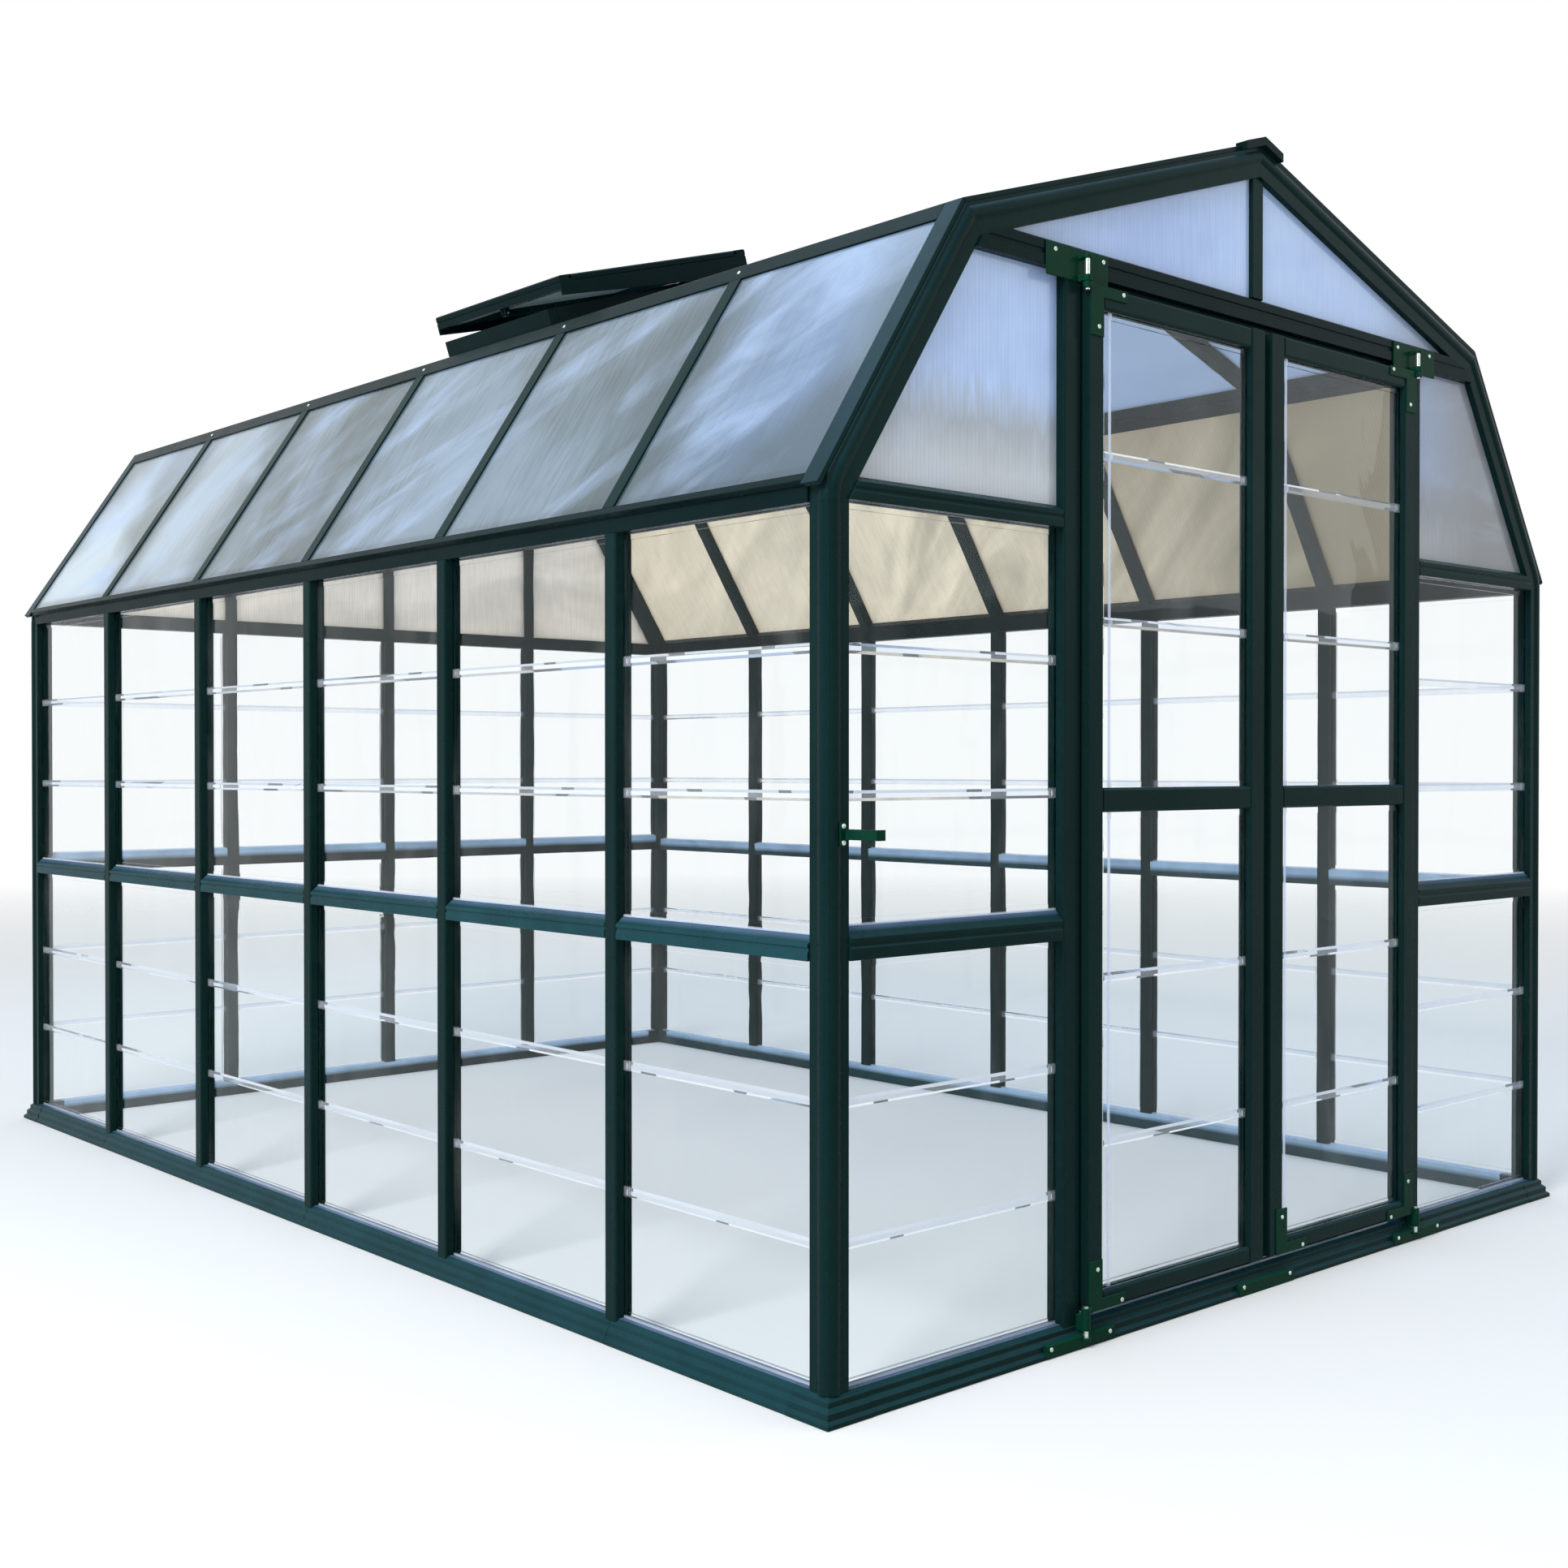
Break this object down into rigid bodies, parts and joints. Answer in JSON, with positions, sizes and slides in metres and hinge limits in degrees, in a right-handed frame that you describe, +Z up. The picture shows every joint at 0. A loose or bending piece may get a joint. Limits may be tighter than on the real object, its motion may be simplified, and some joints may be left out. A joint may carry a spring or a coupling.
{
  "type": "greenhouse",
  "caption": "Walk-in hobby greenhouse with a gambrel roof, a post and rail frame in dark green, clear wall panels, twin-wall roof and gable panels, a double door and a roof vent.",
  "frame": {"origin": "on the ground, in the middle of the whole footprint", "axes": "+Z up, +Y along the ridge away from the door gable, +X across the gables; the roof vent is on the -X slope"},
  "size_m": [2.536, 3.7552, 2.4224],
  "materials": {
    "frame_green": "glossy dark green resin",
    "joint_green": "glossy moulded green plastic",
    "clear_sheet": "clear sheet with formed ribs",
    "twin_wall": "milky twin-wall sheet with fine flutes",
    "screw_steel": "pale plated steel"
  },
  "bodies": {
    "frame": {"base_rail_left": "frame_green", "base_rail_right": "frame_green", "base_rail_front": "frame_green", "base_rail_back": "frame_green", "corner_feet": "frame_green", "corner_posts": "frame_green", "wall_posts_left": "frame_green", "wall_posts_right": "frame_green", "mid_rails_left": "frame_green", "mid_rails_right": "frame_green", "eave_purlins": "frame_green", "break_purlins": "frame_green", "ridge_beam": "frame_green", "ridge_end_caps": "frame_green", "eave_knuckles": "frame_green", "gable_rafters_front": "frame_green", "gable_rafters_back": "frame_green", "gable_edge_caps": "frame_green", "roof_rafters_left": "frame_green", "roof_rafters_right": "frame_green", "front_eave_rails": "frame_green", "front_mid_rails": "frame_green", "front_head_beam": "frame_green", "front_mullion": "frame_green", "door_jambs": "frame_green", "door_stops": "frame_green", "head_connectors": "joint_green", "base_connectors": "joint_green", "threshold_plate": "joint_green", "back_posts": "frame_green", "back_eave_rails": "frame_green", "back_mid_rails": "frame_green", "back_head_beam": "frame_green", "back_mullion": "frame_green", "wall_panels_left": "clear_sheet", "wall_panels_right": "clear_sheet", "front_clear_panels": "clear_sheet", "back_clear_panels": "clear_sheet", "front_gable_panels": "twin_wall", "back_gable_panels": "twin_wall", "roof_panels_left": "twin_wall", "roof_panels_right": "twin_wall", "vent_kerb": "frame_green", "vent_hinge_pins": "screw_steel", "door_holder": "joint_green", "door_pivot_pins": "screw_steel", "frame_screws": "screw_steel"},
    "door_left": {"door_left_frame": "frame_green", "door_left_panels": "clear_sheet", "door_left_brackets": "joint_green", "door_left_screws": "screw_steel"},
    "door_right": {"door_right_frame": "frame_green", "door_right_panels": "clear_sheet", "door_right_brackets": "joint_green", "door_right_screws": "screw_steel"},
    "vent_flap": {"vent_flap_frame": "frame_green", "vent_flap_panel": "twin_wall", "vent_stay_pin": "screw_steel"},
    "vent_stay": {"vent_stay": "frame_green"}
  },
  "joints": [
    {"name": "door_left_hinge", "type": "hinge", "parent": "frame", "child": "door_left", "pos_m": [-0.6, -1.8176, 1], "axis": [0, 0, -1], "range_deg": [0, 177]},
    {"name": "door_right_hinge", "type": "hinge", "parent": "frame", "child": "door_right", "pos_m": [0.6, -1.8176, 1], "axis": [0, 0, 1], "range_deg": [0, 177]},
    {"name": "vent_flap_hinge", "type": "hinge", "parent": "frame", "child": "vent_flap", "pos_m": [-0.35988, -0.2721, 2.34428], "axis": [0, 1, 0], "range_deg": [-3.4, 45]},
    {"name": "vent_stay_pivot", "type": "hinge", "parent": "vent_flap", "child": "vent_stay", "pos_m": [-0.88103, -0.2721, 2.18826], "axis": [0, 1, 0], "range_deg": [0, 70]}
  ]
}
